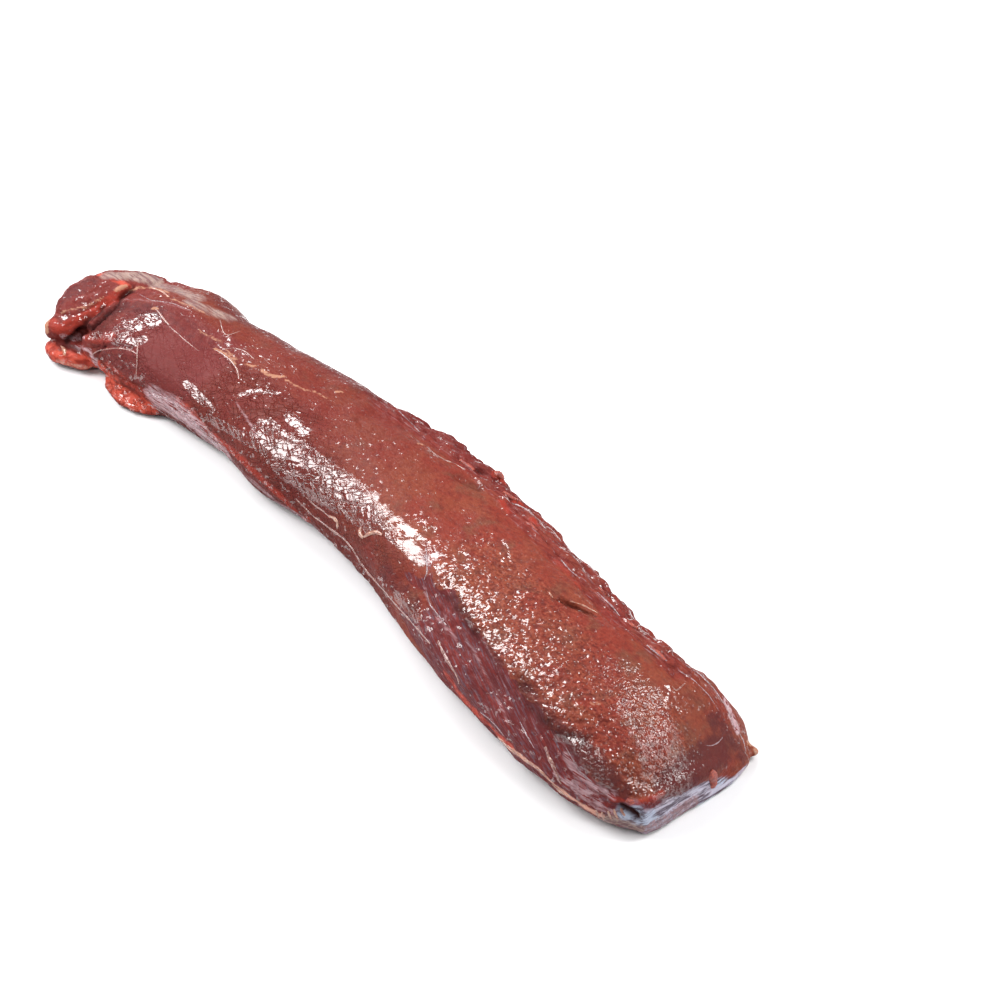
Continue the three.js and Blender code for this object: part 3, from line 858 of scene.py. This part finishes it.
# Pale lilac for silverskin film, and for painted reflection streaks on the flank and low edges.
LILAC_FILM_AND_SHEEN = (0.42, 0.28, 0.30, 1)
FILM = (0.24, 0.14, 0.15, 1)
ORANGE_RED = (0.44, 0.066, 0.040, 1)
FASCIA = (0.27, 0.19, 0.165, 1)
FASCIA_DARK = (0.15, 0.085, 0.085, 1)
DARK_PURPLE = (0.066, 0.013, 0.014, 1)
THIN_END = (0.135, 0.019, 0.017, 1)
TAN = (0.27, 0.085, 0.05, 1)
# Dark red for random dark flecks and for painted shade in the low spots of the pebbles.
DARK_FLECK_AND_HOLLOW_SHADE = (0.060, 0.008, 0.007, 1)
# The end's blue-grey membrane colours, made lighter and bluer with painted reflection of the lights.
SLATE_MEMBRANE_AND_SHEEN = (0.33, 0.36, 0.45, 1)
SLATE_DARK = (0.10, 0.08, 0.105, 1)
PALE_MEMBRANE_AND_SHEEN = (0.45, 0.41, 0.49, 1)
# Painted shade for the crevices, cuts and hollows.
CREVICE_SHADE = (0.024, 0.003, 0.003, 1)
SINEW = (0.25, 0.12, 0.095, 1)
SINEW_DARK = (0.15, 0.042, 0.034, 1)
SILVER = (0.24, 0.15, 0.165, 1)
SILVER_DARK = (0.13, 0.055, 0.06, 1)
SOFT_FAT = (0.36, 0.19, 0.13, 1)
SOFT_FAT_DARK = (0.24, 0.085, 0.055, 1)
FRESH_RED = (0.28, 0.045, 0.022, 1)
FRESH_RED_DARK = (0.16, 0.018, 0.013, 1)


def meat_colour(meat):
    fibres = meat.noise((7, 0.8, 0.8), (0.25, 0.0), 4.0)
    mottle = meat.noise((2.6, 2.2, 2.2), (0.0, 0.0), 5.0)
    colour = meat.mix(meat.ramp(meat.noise((26, 18, 18), (0.3, 0.0), 5.0), 0.38, 0.62), LEAN, BROWN)
    colour = meat.mix(meat.ramp(meat.noise((14, 11, 11), (0.8, 0.0), 6.0), 0.52, 0.66), colour, BROWN_DULL)
    # Painted shade darkens the thin half.
    colour = meat.mix(meat.times(meat.zone("thin_half_painted_shade"), 0.45), colour, LEAN_DARK)
    wet = meat.broken("wet_flank", (7, 7, 7), 0.5, 0.3)
    colour = meat.mix(meat.times(wet, 0.5), colour, LEAN_DARK)
    colour = meat.mix(meat.times(meat.broken("mauve", (9, 9, 9), 0.4, 0.3), 0.8), colour, MAUVE)
    colour = meat.mix(meat.times(meat.broken("thin_end", (6, 6, 6), 0.5, 0.3), 0.85), colour, THIN_END)
    # Painted shade on the low near flank of the thin half.
    colour = meat.mix(meat.times(meat.zone("low"), 0.6), colour, LEAN_DARK)
    skin = meat.larger(meat.noise((9, 0.8, 0.8), FALLING), meat.noise((6, 0.8, 0.8), RISING))
    lined = meat.times(meat.zone("wet_flank"), meat.rest(meat.zone("dull")))
    colour = meat.mix(meat.times(lined, meat.ramp(skin, 0.55, 0.72, 0.0, 0.6)), colour, LEAN_DARK)
    stripes = meat.noise((26, 1.6, 1.6), FLANK_STRIPES, 4.0)
    flank = meat.mix(meat.ramp(stripes, 0.45, 0.62), PURPLE, PURPLE_RED)
    # Pale lilac streaks on the smooth flank are painted reflections.
    painted_sheen_lines = meat.noise((22, 1.0, 1.0), FLANK_STRIPES, 3.0)
    dark_lines = meat.noise((12, 0.9, 0.9), FLANK_STRIPES, 4.0)
    flank = meat.mix(meat.ramp(painted_sheen_lines, 0.57, 0.72, 0.0, 0.2), flank, LILAC_FILM_AND_SHEEN)
    flank = meat.mix(meat.ramp(dark_lines, 0.36, 0.48, 0.6, 0.0), flank, SLATE_DARK)
    colour = meat.mix(meat.broken("smooth_flank", (3, 3, 3), 0.5, 0.12), colour, flank)
    colour = meat.mix(meat.ramp(fibres, 0.35, 0.75, 0.0, 0.25), colour, LEAN_DARK)
    colour = meat.mix(meat.ramp(mottle, 0.48, 0.66, 0.0, 0.55), colour, LEAN_DARK)
    flecks = meat.noise((1.3, 1.1, 1.1), detail=2.0)
    pebbles = meat.noise((3.0, 2.2, 2.2), RISING, 1.0)
    # Darker colour for random flecks, and painted shade in the low spots of the same pebble noise that the
    # bump uses.
    between_flecks = meat.ramp(flecks, 0.34, 0.47, 0.7, 0.0)
    flecks_and_hollow_shade = meat.larger(between_flecks, meat.ramp(pebbles, 0.32, 0.48, 0.55, 0.0))
    smooth = meat.larger(meat.zone("smooth_flank"), meat.times(meat.zone("dull"), 0.6))
    bumpy = meat.times(meat.rest(smooth), meat.ramp(meat.zone("stippled"), 0.0, 1.0, 0.35, 1.0))
    colour = meat.mix(meat.times(bumpy, meat.ramp(flecks, 0.56, 0.66, 0.0, 0.45)), colour, TAN)
    colour = meat.mix(meat.times(bumpy, flecks_and_hollow_shade), colour, DARK_FLECK_AND_HOLLOW_SHADE)
    # Dark purple patches: partly the meat's tissue, partly painted shade in hollows.
    colour = meat.mix(meat.times(meat.broken("purple", (3, 3, 3), 1.2, 0.3), 0.8), colour, DARK_PURPLE)
    # The end face: dark membrane streaked with blue-grey and pale colours that include painted reflection.
    sheet = meat.noise((3, 11, 1.5), (0.0, 0.0), 4.0)
    under_sheet = meat.mix(meat.ramp(sheet, 0.42, 0.6), DARK_PURPLE, SLATE_MEMBRANE_AND_SHEEN)
    colour = meat.mix(meat.broken("end_face", (4, 4, 4), 0.7, 0.3), colour, under_sheet)
    slate = meat.mix(meat.ramp(sheet, 0.38, 0.56), SLATE_DARK, SLATE_MEMBRANE_AND_SHEEN)
    colour = meat.mix(meat.broken("slate", (4, 4, 4), 0.8, 0.4), colour, slate)
    pale = meat.mix(meat.ramp(sheet, 0.4, 0.58), SLATE_DARK, PALE_MEMBRANE_AND_SHEEN)
    colour = meat.mix(meat.broken("sheet", (4, 9, 1.6), 1.4, 0.5), colour, pale)
    colour = meat.mix(meat.times(meat.broken("far_rim", (8, 5, 5), 0.8, 0.4), 0.55), colour, DARK_PURPLE)

    streaks = meat.noise((14, 1.1, 1.1), (0.1, 0.0), 4.0)
    lines = meat.noise((18, 0.9, 0.9), (0.0, 0.0), 3.0)
    torn = meat.broken("torn", (5, 3, 3), 0.5, 0.2)
    colour = meat.mix(meat.times(torn, 0.45), colour, PURPLE_RED)
    colour = meat.mix(meat.times(torn, meat.ramp(streaks, 0.38, 0.52, 0.75, 0.0)), colour, LEAN_DARK)
    colour = meat.mix(meat.times(torn, meat.ramp(lines, 0.59, 0.69, 0.0, 0.55)), colour, FILM)
    film = meat.times(meat.broken("pale_film", (6, 3, 3), 0.5, 0.15), meat.ramp(streaks, 0.35, 0.6, 0.3, 0.9))
    colour = meat.mix(film, colour, FILM)
    colour = meat.mix(meat.times(meat.broken("red", (3, 2, 2), 1.0, 0.45), 0.9), colour, BRIGHT)
    rims = meat.mix(meat.ramp(meat.noise((8, 3.0, 3.0), (0.8, 0.3), 4.0), 0.36, 0.54), BRIGHT, ORANGE_RED)
    colour = meat.mix(meat.times(meat.broken("orange", (3, 2, 2), 0.8, 0.45), 0.9), colour, rims)
    fascia = meat.mix(meat.ramp(streaks, 0.42, 0.58), FASCIA_DARK, FASCIA)
    far_film = meat.times(meat.broken("far_film", (12, 4, 4), 1.4, 0.4), 0.75)
    sheen = meat.larger(meat.broken("grey", (8, 3, 3), 1.1, 0.4), far_film)
    colour = meat.mix(meat.times(sheen, 0.9), colour, fascia)
    # Lilac threads: silverskin film, partly painted reflection along the low near edges.
    threads = meat.mix(meat.ramp(streaks, 0.38, 0.5), PURPLE_RED, LILAC_FILM_AND_SHEEN)
    colour = meat.mix(meat.times(meat.broken("lilac_film_and_sheen", (20, 1.8, 1.8), 1.8, 0.5), 0.85), colour, threads)
    colour = meat.mix(meat.times(meat.broken("cream", (1.8, 1.0, 1.0), 1.6, 0.25), 0.85), colour, CREAM)
    colour = meat.mix(meat.times(meat.broken("peach", (1.8, 1.4, 1.4), 1.0, 0.3), 0.9), colour, PEACH)
    # The dark strokes lay painted shade in the crevices, cuts and hollows.
    return meat.mix(meat.zone("dark"), colour, CREVICE_SHADE)


def meat_bump(meat):
    wet = meat.zone("wet_flank")
    flank = meat.zone("smooth_flank")
    stippled = meat.zone("stippled")
    stipple = meat.zone("stipple")
    dry = meat.rest(meat.times(wet, 0.7))
    pebbles = meat.times(meat.noise((3.0, 2.2, 2.2), RISING, 1.0), meat.ramp(stipple, 0.0, 1.0, 1.0, 0.5))
    fine_pebbles = meat.times(meat.noise((1.0, 0.9, 0.9), detail=1.0), 0.3)
    dry_places = meat.rest(meat.larger(meat.zone("glints"), meat.zone("shine")))
    grain_height = meat.sum(meat.times(dry_places, 0.4), 0.06)
    grain = meat.times(meat.noise((1.8, 1.3, 1.3), detail=2.0), grain_height)
    top = meat.times(dry, meat.rest(meat.times(flank, 0.7)), grain)
    top = meat.sum(top, meat.times(stippled, pebbles), meat.times(stipple, fine_pebbles))
    facets = meat.ramp(meat.away_from_cell_edges((8.0, 4.2, 4.2), RISING, 0.9), 0.0, 0.06, -0.2, 0.0)
    falling = meat.times(meat.crease((24, 5.4, 5.4), 0.024, FALLING), -0.3)
    rising = meat.times(meat.crease((14, 5.0, 5.0), 0.024, RISING), -0.26)
    folds = meat.times(wet, meat.sum(facets, falling, rising))
    stripes = meat.times(flank, meat.noise((18, 1.2, 1.2), FLANK_STRIPES), 0.7)
    uneven_places = meat.rest(meat.times(meat.zone("dull"), 0.8))
    return meat.bump(meat.times(uneven_places, meat.sum(top, folds, stripes)))


def meat_juice(meat):
    """Where the meat is wet: drops, pools with dry gaps, and a haze of fine wet lines on the thick end."""
    wet_flank = meat.zone("wet_flank")
    far_side = meat.times(meat.zone("far_wet"), 0.07)
    wetter = meat.sum(meat.times(meat.zone("glints"), 0.2), far_side, meat.times(meat.zone("dull"), -0.2))
    drops = meat.ramp(meat.sum(meat.noise((3.2, 2.3, 2.3), RISING, 1.5), wetter), 0.66, 0.71)
    on_top = meat.sum(meat.times(meat.zone("stippled"), 0.08), meat.times(meat.zone("smooth_flank"), -0.1))
    tiny = meat.sum(meat.noise((1.8, 1.3, 1.3), RISING, 1.0), meat.times(wetter, 0.5), on_top)
    tiny_drops = meat.ramp(tiny, 0.71, 0.75)
    fine_lines = meat.ramp(meat.noise((2.6, 1.5, 1.5), RISING, 1.0, 1.2), 0.43, 0.49, 0.05, 0.85)
    haze = meat.times(meat.broken("stipple", (6, 4, 4), 0.7, 0.25), fine_lines)
    falling_gaps = meat.ramp(meat.noise((12, 1.1, 1.1), FALLING, 2.0), 0.57, 0.62)
    rising_gaps = meat.ramp(meat.noise((7, 1.0, 1.0), RISING, 2.0), 0.60, 0.65)
    pools = meat.times(meat.broken("shine", (3, 2, 2), 1.0, 0.1), wet_flank)
    pools = meat.times(pools, meat.rest(meat.larger(falling_gaps, rising_gaps)))
    patches = meat.times(meat.broken("shine", (3, 2, 2), 0.9, 0.1), meat.rest(wet_flank))
    juice = meat.larger(meat.sum(pools, patches), meat.larger(drops, tiny_drops))
    return meat.larger(juice, meat.larger(haze, 0.012))


def meat_finish():
    meat = Finish("wet_meat")
    bumped = meat_bump(meat)
    meat.set(
        Base_Color=meat_colour(meat),
        Roughness=0.55,
        Specular_IOR_Level=0.08,
        Normal=bumped,
        Coat_Weight=meat_juice(meat),
        Coat_Roughness=0.07,
        Coat_IOR=1.7,
        Coat_Normal=bumped,
        Subsurface_Weight=0.06,
        Subsurface_Radius=(1.0, 0.25, 0.15),
        Subsurface_Scale=1.5 * MM,
    )
    return meat.material


def strand_finish(name, light, dark, roughness=0.35, coat=0.8):
    strand = Finish(name)
    streaks = strand.noise((2.0, 1.0, 1.0), (0.4, 0.0), 4.0)
    bumped = strand.bump(strand.times(strand.noise((0.7, 0.4, 0.4), (0.3, 0.0), 3.0), 0.12))
    strand.set(
        Base_Color=strand.mix(strand.ramp(streaks, 0.4, 0.6), dark, light),
        Roughness=roughness,
        Normal=bumped,
        Coat_Weight=coat,
        Coat_Roughness=0.1,
        Coat_Normal=bumped,
        Subsurface_Weight=0.2,
        Subsurface_Radius=(1.0, 0.5, 0.3),
        Subsurface_Scale=1.0 * MM,
    )
    return strand.material


# Camera, floor and lights


def make_camera():
    bpy.ops.object.camera_add(location=CAMERA_PLACE)
    camera = bpy.context.object
    camera.name = "camera"
    camera.rotation_euler = (-BACK).to_track_quat("-Z", "Y").to_euler()
    camera.data.lens = LENS
    camera.data.sensor_width = SENSOR
    camera.data.clip_start = 0.05
    bpy.context.scene.camera = camera


def make_floor():
    bpy.ops.mesh.primitive_plane_add(size=6, location=(0, 0, 0))
    floor = bpy.context.object
    floor.name = "floor"
    pale = Finish("pale_floor")
    pale.set(Base_Color=(0.74, 0.74, 0.75, 1), Roughness=0.9, Specular_IOR_Level=0.2)
    floor.data.materials.append(pale.material)


# Each softbox is (how far right, away from the camera and up it stands, width and height, power).
SOFTBOXES = {
    "left_softbox": ((-0.67, 0.16, 0.72), (0.95, 1.2), 46),
    "right_softbox": ((0.58, 0.13, 0.80), (0.7, 0.7), 26),
    "back_softbox": ((-0.34, 0.71, 0.615), (0.75, 0.75), 25),
    "low_right_softbox": ((0.9, -0.15, 0.35), (1.2, 0.8), 10),
    "front_right_softbox": ((0.60, -0.53, 0.60), (0.45, 0.45), 9),
    "front_left_softbox": ((-0.48, -0.50, 0.72), (0.5, 0.5), 5),
}
SOFTBOX_DISTANCE = 1.8
ROOM_LIGHT = 0.15


def softbox(name, toward, size, power):
    right, away, up = toward
    direction = right * IMAGE_RIGHT + away * AWAY + Vector((0, 0, up))
    bpy.ops.object.light_add(type="AREA", location=direction.normalized() * SOFTBOX_DISTANCE)
    light = bpy.context.object
    light.name = name
    light.data.shape = "RECTANGLE"
    light.data.size, light.data.size_y = size
    light.data.energy = power
    light.rotation_euler = (-direction).to_track_quat("-Z", "Y").to_euler()


def make_lights():
    for name, settings in SOFTBOXES.items():
        softbox(name, *settings)
    world = bpy.data.worlds.new("studio")
    world.use_nodes = True
    world.node_tree.nodes["Background"].inputs["Color"].default_value = (1, 1, 1, 1)
    world.node_tree.nodes["Background"].inputs["Strength"].default_value = ROOM_LIGHT
    bpy.context.scene.world = world
    bpy.context.scene.view_settings.view_transform = "Standard"


def dress(piece, finish):
    piece.data.materials.clear()
    piece.data.materials.append(finish)
    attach(piece, "root")


deselect()
make_camera()
make_floor()
make_lights()

meat = make_meat()
surface = surface_of(meat)
sinews = lay_all("sinews", SINEWS, surface)
silverskin = lay_all("silverskin_strands", SILVERSKIN, surface)
shreds = lay_all("fat_shreds", SHREDS, surface)
red_shreds = lay_all("red_shreds", RED_SHREDS, surface)

dress(meat, meat_finish())
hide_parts("loin")
dress(sinews, strand_finish("pale_sinew", SINEW, SINEW_DARK))
dress(silverskin, strand_finish("silverskin", SILVER, SILVER_DARK))
dress(shreds, strand_finish("soft_fat", SOFT_FAT, SOFT_FAT_DARK))
dress(red_shreds, strand_finish("fresh_red", FRESH_RED, FRESH_RED_DARK, roughness=0.6, coat=0.2))
